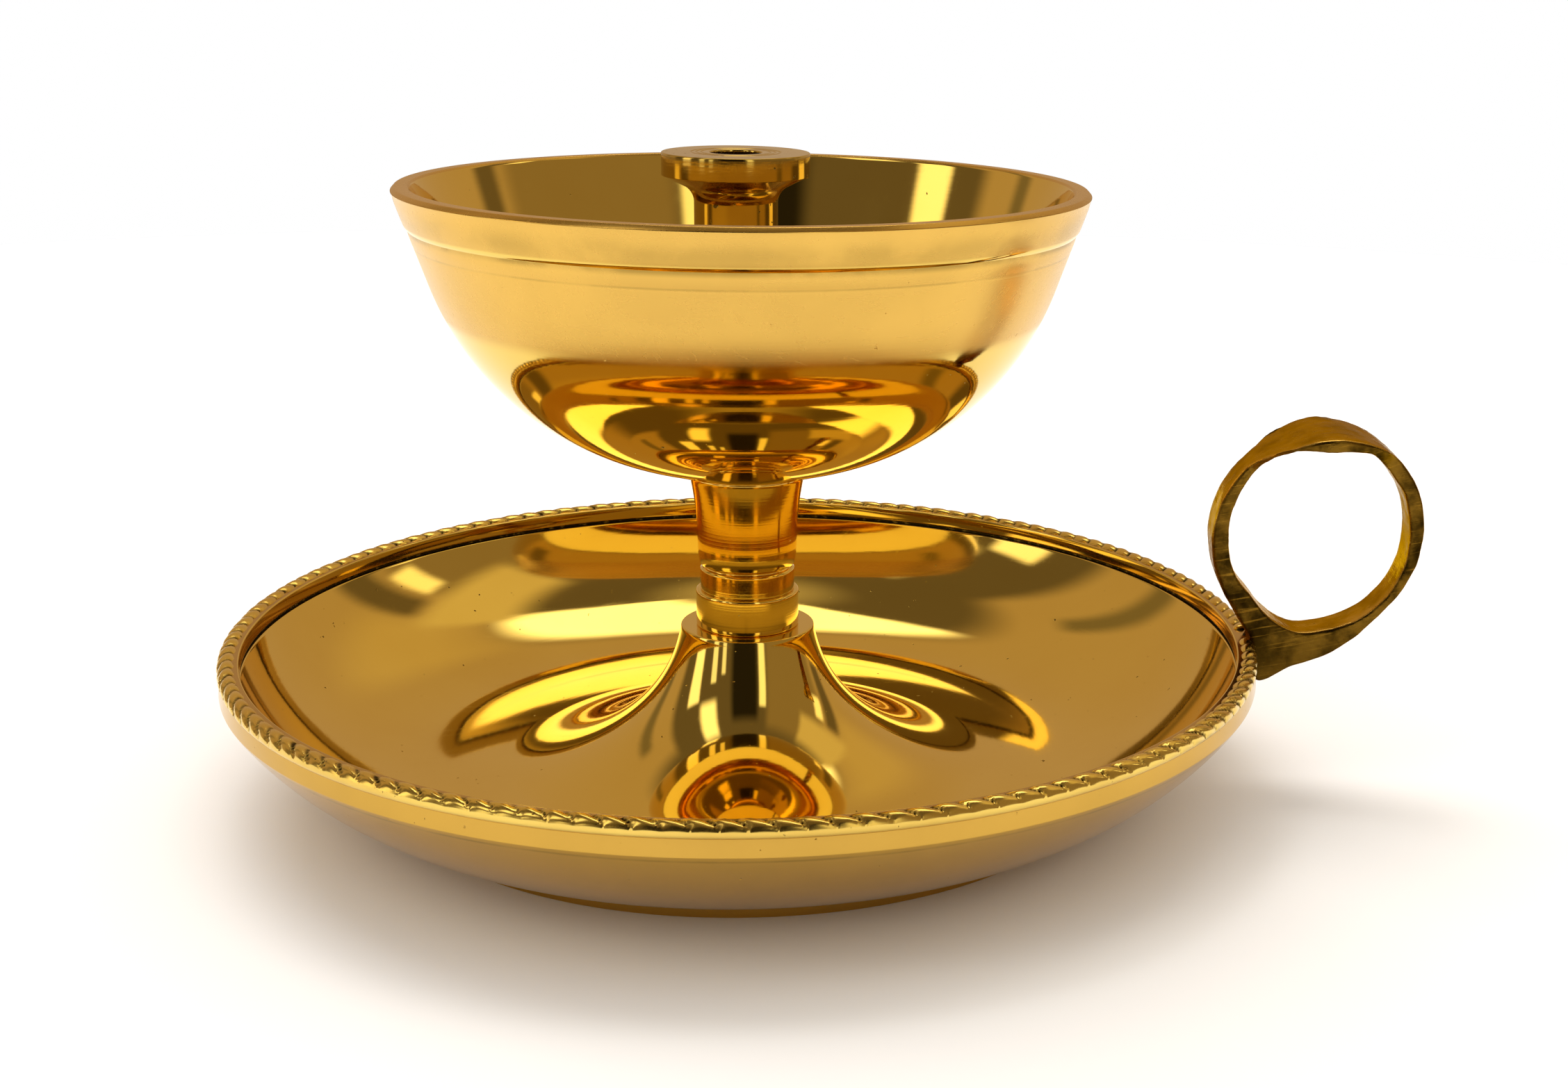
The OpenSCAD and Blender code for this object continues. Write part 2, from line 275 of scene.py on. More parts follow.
def lathe(outline, segments, centre_x=0.0, closed=False):
    """Points and faces of an r-z outline turned round Z. A point on the axis becomes a pole."""
    turn = np.arange(segments) * 2 * math.pi / segments
    rows = [p for p in outline if p[0] > ON_AXIS]
    points = [(centre_x + r * math.cos(a), r * math.sin(a), z) for r, z in rows for a in turn]
    faces = ring_faces(len(rows), segments, closed)
    for end, row in ((outline[0], 0), (outline[-1], len(rows) - 1)):
        if end[0] > ON_AXIS:
            continue
        pole = len(points)
        points.append((centre_x, 0.0, end[1]))
        base = row * segments
        faces += [(base + j, base + (j + 1) % segments, pole) for j in range(segments)]
    return points, faces


# ---------------------------------------------------------------- dish
def trumpet_side(wall, steps):
    """The pedestal's side from its top down to the dish's floor, offset inwards by the wall."""
    p0 = Vector((PEDESTAL_R, PEDESTAL_TOP))
    p3 = Vector((TRUMPET_FOOT_R, FLOOR_Z))
    p1 = p0 + TRUMPET_TOP_PULL * Vector((math.sin(PEDESTAL_LEAN), -math.cos(PEDESTAL_LEAN)))
    p2 = p3 - Vector((TRUMPET_FOOT_PULL, 0))
    out = []
    for t in np.linspace(0, 1, steps + 1).tolist():
        u = 1 - t
        place = u ** 3 * p0 + 3 * u * u * t * p1 + 3 * u * t * t * p2 + t ** 3 * p3
        way = (u * u * (p1 - p0) + 2 * u * t * (p2 - p1) + t * t * (p3 - p2)).normalized()
        out.append((place.x + wall * way.y, place.y - wall * way.x))
    return out


def dish_outline():
    """The dish and its hollow pedestal, as one closed outline from the stud hole over the top to the foot."""
    belly = arc_centre((FOOT_R, FOOT_H), (CREASE_R, CREASE_Z), BELLY_R)
    rise, run = GROOVE_Z - FLOOR_Z, RIM_IN_R - FLAT_R
    side_r = (rise * rise + run * run) / (2 * rise)
    side = (FLAT_R, FLOOR_Z + side_r)
    side_end = math.asin((GROOVE_Z - side[1]) / side_r)
    recess_z = FLOOR_Z - FLOOR_WALL
    hollow = [p for p in trumpet_side(PEDESTAL_WALL, 48) if recess_z < p[1] < HOLLOW_TOP]
    points = [(STUD_HOLE_R, HOLLOW_TOP), (STUD_HOLE_R, PEDESTAL_TOP)]
    points += trumpet_side(0, 72)
    points += arc(side, side_r, -math.pi / 2, side_end, 96)
    points += [
        (RIM_IN_R + GROOVE_D, GROOVE_Z),
        (RIM_IN_R + GROOVE_D, GROOVE_Z + GROOVE_W),
        (RIM_IN_R, GROOVE_Z + GROOVE_W),
        (RIM_IN_R, ROPE_BED),
        (BAND_R - 0.35, ROPE_BED),
        (BAND_R - 0.1, CREASE_Z + 1.6),
        (BAND_R, CREASE_Z + 0.5),
    ]
    a0 = math.asin((CREASE_Z - belly[1]) / BELLY_R)
    a1 = math.asin((FOOT_H - belly[1]) / BELLY_R)
    points += arc(belly, BELLY_R, a0, a1, 48)
    points += [(FOOT_R, 0), (FOOT_R - FOOT_W, 0), (FOOT_R - FOOT_W - recess_z, recess_z)]
    points += [(hollow[-1][0] + 0.3, recess_z)] + hollow[::-1]
    points += [(hollow[0][0], HOLLOW_TOP), (STUD_HOLE_R, HOLLOW_TOP)]
    return points


def make_saucer():
    outline = spaced(soften(dish_outline(), DISH_EDGE), 2.5)
    points, faces = lathe(outline[:-1], DISH_SEGMENTS, closed=True)
    return new_object("saucer_body", points, faces, "base", ["saucer"])


def smooth_step(x):
    """0 below 0, 1 above 1, and a smooth rise between."""
    x = np.clip(x, 0, 1)
    return x * x * (3 - 2 * x)


def make_rope():
    """The twisted rope edge: slanted, slightly uneven and nicked beads, worn away outside at the front.

    They are cut back where the finger ring sits in its notch.
    """
    per_bead, around = 16, 20
    columns = ROPE_BEADS * per_bead
    turn = np.arange(columns) * 2 * math.pi / columns
    section = np.arange(around) * 2 * math.pi / around
    rng = np.random.default_rng(7)
    size = rng.normal(0, 1, ROPE_BEADS)
    # 1 round the front and 0 at the sides and the back
    worn = smooth_step((-np.sin(turn) - 0.5) / 0.4)
    off_notch = np.abs((turn + math.pi) % (2 * math.pi) - math.pi) * DISH_R
    points = []
    for psi in section:
        phase = ROPE_BEADS * turn / (2 * math.pi) + ROPE_TWIST * math.sin(psi - 0.6)
        bead = np.floor(phase).astype(int)
        along = phase - bead
        uneven = size[bead % ROPE_BEADS] * (1 - along) + size[(bead + 1) % ROPE_BEADS] * along
        ridge = np.abs(np.sin(math.pi * phase)) ** ROPE_RIDGE
        show = smooth_step((math.sin(psi) + 0.55 - 0.75 * worn) / 0.75) if math.cos(psi) > 0 else 1.0
        depth = (ROPE_DEPTH + ROPE_UNEVEN * uneven) * show
        radius = ROPE_R - ROPE_SLACK - depth * (1 - ridge)
        places = np.column_stack([np.cos(turn) * NICK_SPREAD, np.sin(turn) * NICK_SPREAD])
        nick = np.array([noise.noise(Vector((x, y, psi * 0.8))) for x, y in places])
        radius = radius - NICK_DEPTH * np.clip(nick, 0, 1) * show
        notch = smooth_step((NOTCH_HALF - off_notch) / NOTCH_FADE + 0.6 * nick)
        radius = radius - NOTCH_DEPTH * notch * show
        r = DISH_R - ROPE_R + radius * math.cos(psi)
        z = DISH_TOP - ROPE_R + radius * math.sin(psi)
        points += list(zip(r * np.cos(turn), r * np.sin(turn), z))
    faces = ring_faces(around, columns, True)
    return new_object("saucer_rope", points, faces, "base", ["saucer"])


# ---------------------------------------------------------------- finger ring
def smooth_max(a, b, k):
    """The larger of a and b, with a round change-over of size k."""
    h = np.clip(0.5 + (a - b) / (2 * k), 0, 1)
    return b + (a - b) * h + k * h * (1 - h)


def ring_table(turn, table):
    """Interpolates an (angle in degrees: value) table round the ring."""
    keys = sorted(table)
    degrees = np.degrees(turn)
    return np.interp(degrees, keys, [table[k] for k in keys], period=360)


def smooth_round(values, width):
    """Runs a moving average of this width, in samples, twice round a closed row of values."""
    kernel = np.ones(width) / width
    for _ in range(2):
        wide = np.concatenate([values[-width:], values, values[:width]])
        values = np.convolve(wide, kernel, mode="same")[width:-width]
    return values


# Radius of the finger hole and of the ring's outside, by the angle round the hole in degrees. 90 is the top.
RING_IN = {
    -160: 11.3, -137: 10.85, -116: 11.7, -100: 12.2, -85: 11.7, -60: 11.45, -40: 11.3, -20: 11.3,
    0: 11.35, 15: 11.5, 30: 12.0, 50: 12.3, 66: 13.2, 90: 12.35, 114: 13.2, 135: 12.3, 150: 11.9, 180: 11.3,
}
RING_OUT = {
    -160: 13.4, -140: 13.6, -126: 14.6, -119.5: 15.2, -118: 15.9, -110.5: 20.8, -108: 19.6, -100: 16.9,
    -90: 15.7, -80: 14.8, -70: 13.9, -60: 13.1, -50: 12.6, -40: 12.45, -20: 12.65, 0: 12.95,
    15: 13.35, 30: 13.8, 50: 14.2, 60: 14.3, 90: 14.1, 100: 13.8, 110: 13.4, 120: 13.35,
    135: 13.5, 150: 13.5, 180: 13.4,
}


def ring_section(r_in, r_out, half_w, edge, corner_steps=3, face_steps=5, side_steps=6):
    """Points (r, y) round one cross-section of the finger ring: a rectangle with broken edges."""
    corners = [(r_out, -half_w), (r_out, half_w), (r_in, half_w), (r_in, -half_w)]
    steps = [side_steps, face_steps, side_steps, face_steps]
    out = []
    for k, corner in enumerate(corners):
        before, after = corners[k - 1], corners[(k + 1) % 4]
        c = Vector(corner)
        start = c + (Vector(before) - c).normalized() * edge
        end = c + (Vector(after) - c).normalized() * edge
        for t in np.linspace(0, 1, corner_steps + 1):
            p = start.lerp(c, t).lerp(c.lerp(end, t), t)
            out.append((p.x, p.y))
        far = Vector(after) + (c - Vector(after)).normalized() * edge
        for t in np.linspace(0, 1, steps[k] + 1)[1:-1]:
            p = end.lerp(far, t)
            out.append((p.x, p.y))
    return out


def make_handle():
    """The cast finger ring with its thumb plate and tail, as one sweep round the finger hole."""
    columns = 540
    turn = -math.pi + (np.arange(columns) + 0.5) * 2 * math.pi / columns
    r_in = smooth_round(ring_table(turn, RING_IN), 15)
    r_out = smooth_round(ring_table(turn, RING_OUT), 9)
    across = (r_in + r_out) / 2 * np.cos(turn)
    leaf_r = (PLATE_HALF_W ** 2 + PLATE_HALF_L ** 2) / (2 * PLATE_HALF_W)
    leaf = np.sqrt(np.clip(leaf_r ** 2 - across ** 2, 0, None)) - (leaf_r - PLATE_HALF_W)
    leaf = np.where(np.sin(turn) > 0, leaf, 0)
    half_w = smooth_max(leaf, np.full(columns, RING_HALF_W), PLATE_FILLET)
    points = []
    for a, inner, outer, w in zip(turn, r_in, r_out, half_w):
        for r, y in ring_section(inner, outer, w, RING_EDGE):
            x = HOLE_X + r * math.cos(a)
            z = HOLE_Z + r * math.sin(a)
            place = Vector((x, y, z))
            rough = WAVE_DEPTH * noise.noise(place * WAVES_PER_MM)
            rough += GRAIN_DEPTH * noise.noise(place * GRAINS_PER_MM + Vector((9, 3, 1)))
            points.append((x + rough * math.cos(a), y + rough * 0.5, z + rough * math.sin(a)))
    around = len(points) // columns
    faces = ring_faces(columns, around, True)
    return new_object("handle_ring", points, faces, "base", ["handle"])


# ---------------------------------------------------------------- collar, stem and bowl
def make_collar():
    outline = [
        (STUD_HOLE_R, COLLAR_LOW.z), (STUD_HOLE_R, COLLAR_HIGH.z),
        (COLLAR_HIGH.x, COLLAR_HIGH.z), (COLLAR_HIGH.x, COLLAR_LOW.z), (STUD_HOLE_R, COLLAR_LOW.z),
    ]
    outline = spaced(soften(outline, COLLAR_EDGE), 0.6)
    points, faces = lathe(outline[:-1], TURNED_SEGMENTS, closed=True)
    return new_object("collar_ring", points, faces, "collar", ["collar"])


def make_stem():
    """The stem: a flare under the bowl, a bead, a groove and a plain neck, with a tapped hole from below."""
    bead_top = BEAD_BOTTOM + BEAD_H
    rise, out = STEM_HIGH.z - bead_top, FLARE_R - STEM_R
    flare_arc = (rise * rise + out * out) / (2 * out)
    flare_turn = math.asin(rise / flare_arc)
    flare = arc((STEM_R + flare_arc, bead_top), flare_arc, math.pi - flare_turn, math.pi, 16)
    bead = [
        (STEM_FOOT_R + (STEM_R - STEM_FOOT_R) * math.sin(a), bead_top - BEAD_H * math.cos(a))
        for a in np.linspace(math.pi / 2, 0, 13)[1:]
    ]
    outline = [(0, STEM_HIGH.z)] + flare + bead + [
        (GROOVE_R, BEAD_BOTTOM), (GROOVE_R, NECK_TOP),
        (NECK_R - NECK_CHAMFER, NECK_TOP), (NECK_R, NECK_TOP - NECK_CHAMFER),
        (NECK_R, STEM_LOW.z), (TAPPED_R + TAPPED_CHAMFER, STEM_LOW.z),
        (TAPPED_R, STEM_LOW.z + TAPPED_CHAMFER), (TAPPED_R, TAPPED_TOP), (0, TAPPED_TOP + TAPPED_CONE),
    ]
    outline = spaced(soften(outline, 0.12), 0.8)
    points, faces = lathe(outline, TURNED_SEGMENTS)
    return new_object("stem_post", points, faces, "lamp", ["stem"])


# The turned lip of the bowl: how far down from the top, and how far out from the straight side.
LIP = (
    (0.9, 0.12), (1.7, 0.20), (2.6, 0.21), (3.6, 0.20), (4.4, 0.17), (4.7, 0.09),
    (LIP_H, -0.03), (5.2, 0.02), (6.6, 0.04), (6.9, -0.01), (7.2, 0.02),
)


def bowl_outline():
    """The bowl from the middle of its floor, up the inside, over the lip and down the outside."""
    start = (BOWL_R - BOWL_STRAIGHT * math.sin(BOWL_LEAN), BOWL_TOP - BOWL_STRAIGHT * math.cos(BOWL_LEAN))
    centre = (start[0] - BOWL_ROUND * math.cos(BOWL_LEAN), start[1] + BOWL_ROUND * math.sin(BOWL_LEAN))
    inner_r = BOWL_ROUND - BOWL_WALL
    floor_z = centre[1] - math.sqrt(inner_r ** 2 - (BOWL_FLOOR_R - centre[0]) ** 2)
    inner_start = math.asin((centre[1] - floor_z) / inner_r)
    wall_across = BOWL_WALL / math.cos(BOWL_LEAN)
    side = math.tan(BOWL_LEAN)
    points = [(0, floor_z)]
    points += arc(centre, inner_r, -inner_start, -BOWL_LEAN, 56)
    points += [
        (BOWL_R - wall_across - 0.3 * side, BOWL_TOP - 0.3),
        (BOWL_R - wall_across + 0.15, BOWL_TOP),
        (BOWL_R - 0.45, BOWL_TOP),
        (BOWL_R, BOWL_TOP - 0.5),
    ]
    points += [(BOWL_R - d * side + swell, BOWL_TOP - d) for d, swell in LIP]
    points += arc(centre, BOWL_ROUND, -BOWL_LEAN, -BOWL_UNDER_LEAN, 64)
    points += [(FLARE_R, STEM_HIGH.z), (SPIGOT_R, STEM_HIGH.z)]
    points += [(SPIGOT_R, STEM_HIGH.z - SPIGOT_H), (0, STEM_HIGH.z - SPIGOT_H)]
    return points


def make_bowl():
    outline = spaced(soften(bowl_outline(), 0.18, min_turn=math.radians(25)), 2.0)
    points, faces = lathe(outline, BOWL_SEGMENTS)
    return new_object("bowl_body", points, faces, "lamp", ["bowl"])


# ---------------------------------------------------------------- wick holder
def holder_outline():
    """The wick holder's wall: bore, ringed top, flange, cove, waist and foot."""
    top, bottom = HOLDER_HIGH.z, HOLDER_LOW.z
    cove_run = COVE_R * (1 - math.sin(UNDER_SLOPE))
    under_run = FLANGE_R - FLANGE_EDGE - WAIST_R - cove_run
    waist_top = top - FLANGE_H - under_run * math.tan(UNDER_SLOPE) - COVE_R * math.cos(UNDER_SLOPE)
    foot_top = bottom + HOLDER_FOOT_H
    foot_cove = HOLDER_FOOT_R - HOLDER_FOOT_EDGE - WAIST_R
    outline = [(WICK_R, bottom), (WICK_R, top)]
    for off_bore in RING_MARKS:
        r = WICK_R + off_bore
        outline += [(r, top), (r + RING_MARK_W / 2, top - RING_MARK_D), (r + RING_MARK_W, top)]
    outline += [(FLANGE_R, top), (FLANGE_R, top - FLANGE_H), (FLANGE_R - FLANGE_EDGE, top - FLANGE_H)]
    outline += arc((WAIST_R + COVE_R, waist_top), COVE_R, math.pi / 2 + UNDER_SLOPE, math.pi, 16)
    outline += arc((WAIST_R + foot_cove, foot_top + foot_cove), foot_cove, math.pi, 1.5 * math.pi, 20)
    outline += [(HOLDER_FOOT_R, foot_top), (HOLDER_FOOT_R, bottom), (WICK_R, bottom)]
    return outline


def box_mesh(name, size, turn, centre):
    """A plain box in millimetres, turned about Z. It is only used to cut with."""
    mesh = bpy.data.meshes.new(name)
    shape = bmesh.new()
    bmesh.ops.create_cube(shape, size=1.0)
    place = Matrix.Translation(Vector(centre) * MM) @ Matrix.Rotation(turn, 4, "Z")
    shape.transform(place @ Matrix.Diagonal((*[v * MM for v in size], 1.0)))
    shape.to_mesh(mesh)
    shape.free()
    return bpy.data.objects.new(name, mesh)


def cut(piece, cutter):
    """Cuts the cutter out of the piece and removes the cutter."""
    bpy.context.scene.collection.objects.link(cutter)
    modifier = piece.modifiers.new("cut", "BOOLEAN")
    modifier.operation = "DIFFERENCE"
    modifier.solver = "EXACT"
    modifier.object = cutter
    view = bpy.context.evaluated_depsgraph_get()
    mesh = bpy.data.meshes.new_from_object(piece.evaluated_get(view))
    piece.modifiers.clear()
    piece.data = mesh
    bpy.data.objects.remove(cutter)


def make_holder():
    """The wick holder, with two slots across the underside of its foot to let the oil in."""
    outline = spaced(soften(holder_outline(), 0.2), 0.9)
    points, faces = lathe(outline[:-1], TURNED_SEGMENTS, HOLDER_X, closed=True)
    holder = new_object("wick_holder_post", points, faces, "wick_holder", ["wick_holder"])
    for turn in (math.pi / 4, 3 * math.pi / 4):
        size = (4 * HOLDER_FOOT_R, SLOT_W, 2 * SLOT_H)
        cut(holder, box_mesh("slot_cutter", size, turn, (HOLDER_X, 0, HOLDER_LOW.z)))
    holder.data.set_sharp_from_angle(angle=SHARP_ANGLE)
    return holder


# ---------------------------------------------------------------- stud, washer and nut
def make_stud():
    """The stud with its thread cut as one helix, and cones at both ends."""
    around, per_turn = 48, 12
    top, bottom, outer = STUD_HIGH.z, STUD_LOW.z, STUD_HIGH.x - THREAD_SLACK
    rows = int((top - bottom) / THREAD_PITCH * per_turn)
    turn = np.arange(around) * 2 * math.pi / around
    points = []
    for z in np.linspace(bottom, top, rows + 1):
        phase = (z / THREAD_PITCH - turn / (2 * math.pi)) % 1.0
        ridge = np.clip(1.25 - 2.5 * np.abs(phase - 0.5), 0, 1)
        end = min(z - bottom, top - z)
        radius = np.minimum(outer - THREAD_DEPTH * (1 - ridge), outer - STUD_CONE + end)
        points += [(r * math.cos(a), r * math.sin(a), z) for r, a in zip(radius, turn)]
    faces = ring_faces(rows + 1, around)
    low, high = len(points), len(points) + 1
    points += [(0, 0, bottom), (0, 0, top)]
    faces += [(j, low, (j + 1) % around) for j in range(around)]
    last = rows * around
    faces += [(last + j, last + (j + 1) % around, high) for j in range(around)]
    return new_object("stud_thread", points, faces, "base", ["tie_stud"])


def make_washer():
    outline = [
        (STUD_HOLE_R, WASHER_LOW.z), (STUD_HOLE_R, WASHER_HIGH.z),
        (WASHER_HIGH.x, WASHER_HIGH.z), (WASHER_HIGH.x, WASHER_LOW.z), (STUD_HOLE_R, WASHER_LOW.z),
    ]
    points, faces = lathe(soften(outline, WASHER_EDGE)[:-1], SMALL_SEGMENTS, closed=True)
    return new_object("washer_ring", points, faces, "base", ["washer"])


def make_nut():
    """A hexagon nut with its corners turned off in a cone."""
    around = TURNED_SEGMENTS
    flat = NUT_HIGH.y
    face_r = flat * NUT_FACE_SHARE
    inner = STUD_HIGH.x + NUT_SLACK
    low, high = NUT_LOW.z, NUT_HIGH.z
    turn = np.arange(around) * 2 * math.pi / around
    hexagon = flat / np.cos((turn + math.pi / 6) % (math.pi / 3) - math.pi / 6)
    drop = np.clip(hexagon - face_r, 0, None) * math.tan(NUT_CHAMFER)
    rows = [(inner, low), (inner, high), (face_r, high)]
    points = [(r * math.cos(a), r * math.sin(a), z) for r, z in rows for a in turn]
    for z_end, way in ((high, -1), (low, 1)):
        edge = zip(hexagon, turn, z_end + way * drop)
        points += [(r * math.cos(a), r * math.sin(a), z) for r, a, z in edge]
    points += [(face_r * math.cos(a), face_r * math.sin(a), low) for a in turn]
    faces = ring_faces(len(points) // around, around, True)
    return new_object("nut_hexagon", points, faces, "base", ["nut"])


# ---------------------------------------------------------------- materials
BRASS_BRIGHT = (0.85, 0.61, 0.14, 1.0)
BRASS_WARM = (0.80, 0.55, 0.11, 1.0)
BRASS_DEEP = (0.60, 0.35, 0.06, 1.0)
BRASS_DARK = (0.22, 0.115, 0.012, 1.0)
SATIN_BRASS = (0.77, 0.48, 0.105, 1.0)
SATIN_DARK = (0.60, 0.36, 0.065, 1.0)
PLAIN_EDGE = (1.0, 1.0, 1.0, 1.0)
CAST_EDGE = (0.62, 0.47, 0.22, 1.0)

# The outside above low_z and beyond low_r is satin instead of bright, with this added roughness and colour.
# The last field holds dark rings of painted shade round it, as (z, half width, strength): thin ones along
# creases and grooves, wider over a bulge.
Satin = namedtuple("Satin", "low_z low_r roughness colour lines")
# A dark groove: its lowest radius and its height range.
Groove = namedtuple("Groove", "low_r low_z high_z")
# A rope edge whose hollows are dark: the middle of its section and the section's radius.
Rope = namedtuple("Rope", "ring_r ring_z section_r")


class Shader:
    """A small helper that adds nodes to one material or world and links them."""

    def __init__(self, owner):
        owner.use_nodes = True
        self.tree = owner.node_tree
        self.tree.nodes.clear()

    def add(self, kind, inputs=None, **settings):
        node = self.tree.nodes.new(kind)
        for key, value in settings.items():
            setattr(node, key, value)
        for key, value in (inputs or {}).items():
            self.feed(node.inputs[key], value)
        return node

    def feed(self, socket, value):
        if isinstance(value, bpy.types.NodeSocket):
            self.tree.links.new(value, socket)
        else:
            socket.default_value = value

    def maths(self, operation, *values, clamp=False):
        node = self.add("ShaderNodeMath", operation=operation, use_clamp=clamp)
        for k, value in enumerate(values):
            self.feed(node.inputs[k], value)
        return node.outputs[0]

    def product(self, first, *others):
        """The product of two or more values."""
        for other in others:
            first = self.maths("MULTIPLY", first, other)
        return first

    def noise(self, vector, scale, detail=3.0, roughness=0.55, distortion=0.0):
        node = self.add("ShaderNodeTexNoise", {
            "Vector": vector, "Scale": scale, "Detail": detail,
            "Roughness": roughness, "Distortion": distortion,
        })
        return node.outputs["Fac"]

    def ramp(self, value, low, high, out_low=0.0, out_high=1.0):
        node = self.add("ShaderNodeMapRange", {
            "Value": value, "From Min": low, "From Max": high, "To Min": out_low, "To Max": out_high,
        }, interpolation_type="SMOOTHSTEP")
        return node.outputs["Result"]

    def mix(self, share, a, b):
        node = self.add("ShaderNodeMix", data_type="RGBA")
        self.feed(node.inputs["Factor"], share)
        self.feed(node.inputs[6], a)
        self.feed(node.inputs[7], b)
        return node.outputs[2]

    def vector(self, x, y, z):
        return self.add("ShaderNodeCombineXYZ", {0: x, 1: y, 2: z}).outputs[0]

    def side(self):
        """The way that the surface faces, in the piece's own axes."""
        return self.add("ShaderNodeTexCoord").outputs["Normal"]

    def bump(self, height, distance, normal=None):
        inputs = {"Height": height, "Distance": distance}
        if normal is not None:
            inputs["Normal"] = normal
        return self.add("ShaderNodeBump", inputs).outputs["Normal"]

    def finish(self, tint, rough, normal, edge_tint=PLAIN_EDGE):
        """Ends a metal material. edge_tint is the colour it takes on where it is seen at a flat angle."""
        shell = self.add("ShaderNodeBsdfPrincipled", {
            "Base Color": tint, "Metallic": 1.0, "Roughness": rough,
            "Normal": normal, "Specular Tint": edge_tint,
        })
        self.add("ShaderNodeOutputMaterial", {"Surface": shell.outputs[0]})


def shade(colour, share):
    """The colour made darker, to this share of its light."""
    return tuple(share * c for c in colour[:3]) + (1.0,)


def polar(s, centre_x=0.0):
    """Object position, its parts and its radius from the turning axis, all in millimetres."""
    place = s.add("ShaderNodeTexCoord").outputs["Object"]
    scaled = s.add("ShaderNodeVectorMath", {0: place, "Scale": 1 / MM}, operation="SCALE").outputs[0]
    parts = s.add("ShaderNodeSeparateXYZ", {0: scaled})
    x = s.maths("SUBTRACT", parts.outputs[0], centre_x)
    y = parts.outputs[1]
    radius = s.maths("SQRT", s.maths("ADD", s.product(x, x), s.product(y, y)))
    return scaled, x, y, parts.outputs[2], radius


def stretched(s, places, scales):
    """Noise drawn out along the axes with a small scale."""
    return s.noise(s.vector(*[s.product(place, scale) for place, scale in zip(places, scales)]), 1.0, 2.0)


def wiping_marks(s, x, y, z):
    """Long slanting marks of a polishing cloth."""
    along = s.maths("ADD", s.product(x, 0.10), s.product(y, 0.06))
    across = s.maths("SUBTRACT", s.product(y, 1.6), x)
    return s.noise(s.vector(along, across, s.product(z, 0.8)), 1.0, 3.0, 0.6, 0.6)


def satin_share(s, place, z, radius, satin):
    """1 on the satin part of the outside, 0 on the inside and on the bright part."""
    facing = s.add("ShaderNodeVectorMath", {0: s.side(), 1: place}, operation="DOT_PRODUCT")
    return s.product(
        s.ramp(facing.outputs["Value"], 4.0, 8.0),
        s.ramp(z, satin.low_z - 1.5, satin.low_z + 1.5),
        s.ramp(radius, satin.low_r, satin.low_r + 2.0),
    )


def groove_share(s, z, radius, speck, groove):
    """1 in the dark groove, a little uneven, and 0 outside it."""
    return s.product(
        s.ramp(radius, groove.low_r - 0.1, groove.low_r + 0.1),
        s.ramp(z, groove.low_z - 0.15, groove.low_z + 0.05),
        s.ramp(radius, groove.low_r + 1.4, groove.low_r + 1.0),
        s.ramp(z, groove.high_z + 0.25, groove.high_z - 0.05),
        s.ramp(speck, 0.25, 0.5, 0.7, 1.0),
    )


def hollow_share(s, z, radius, rope):
    """1 in the hollows between the rope's beads, 0 on top of them."""
    across = s.maths("POWER", s.maths("SUBTRACT", radius, rope.ring_r), 2.0)
    upward = s.maths("POWER", s.maths("SUBTRACT", z, rope.ring_z), 2.0)
    off = s.maths("SQRT", s.maths("ADD", across, upward))
    return s.ramp(off, rope.section_r - 0.12, rope.section_r - 0.38)


def brass(name, colour, dull, roughness, rings, ring_depth, wave_depth, pit_share,
          satin=None, groove=None, rope=None):
    """Polished brass: turning rings, slow waviness, tarnish clouds, wiping marks and pits.

    dull is the colour of the tarnish, rings how many marks there are to a millimetre, and the depths are in
    millimetres. satin, groove and rope add what their tuples describe.
    """
    material = bpy.data.materials.new(name)
    s = Shader(material)
    place, x, y, z, radius = polar(s)
    cloud = s.noise(place, 0.06, 4.0)
    speck = s.noise(place, 1.1, 2.0, 0.5)
    pits = s.ramp(speck, 0.78 - pit_share, 0.82 - pit_share)
    streak = stretched(s, (radius, z, s.maths("ADD", x, y)), (rings, rings, 0.02))
    tint = s.mix(s.ramp(cloud, 0.3, 0.75, 0.0, 0.5), colour, dull)
    tint = s.mix(s.product(pits, 0.75), tint, shade(dull, 0.12))
    rough = s.ramp(cloud, 0.3, 0.8, roughness, roughness * 1.5)
    rough = s.maths("ADD", rough, s.product(streak, roughness * 0.5))
    rough = s.maths("ADD", rough, s.ramp(wiping_marks(s, x, y, z), 0.55, 0.8, 0.0, 0.05))
    if satin is not None:
        share = satin_share(s, place, z, radius, satin)
        # On the dish this satin colour is dark: partly its own satin finish, partly painted shade for the
        # shadowed floor it mirrors.
        worn = s.mix(s.ramp(cloud, 0.35, 0.7, 0.0, 0.5), satin.colour, shade(satin.colour, 0.85))
        tint = s.mix(share, tint, worn)
        rough = s.maths("ADD", rough, s.product(share, satin.roughness))
        # Dark rings of painted shade round the satin, broken up by noise.
        for line_z, half, strength in satin.lines:
            off = s.maths("ABSOLUTE", s.maths("SUBTRACT", z, line_z))
            broken = s.ramp(s.noise(place, 0.12), 0.35, 0.6, 0.3, 1.0)
            dark = s.product(s.ramp(off, half, 0.0), broken, share, strength)
            tint = s.mix(dark, tint, shade(dull, 0.15))
    rough = s.maths("ADD", rough, s.product(pits, 0.3), clamp=True)
    if groove is not None:
        dark = groove_share(s, z, radius, speck, groove)
        tint = s.mix(dark, tint, shade(dull, 0.07))
        rough = s.maths("ADD", rough, s.product(dark, 0.5), clamp=True)
    if rope is not None:
        dark = hollow_share(s, z, radius, rope)
        tint = s.mix(dark, tint, shade(dull, 0.10))
        rough = s.maths("ADD", rough, s.product(dark, 0.4), clamp=True)
    normal = s.bump(s.noise(place, 0.09, 1.0), wave_depth * MM)
    normal = s.bump(streak, ring_depth * MM, normal)
    normal = s.bump(s.maths("SUBTRACT", 1.0, pits), 0.06 * MM, normal)
    s.finish(tint, rough, normal)
    return material


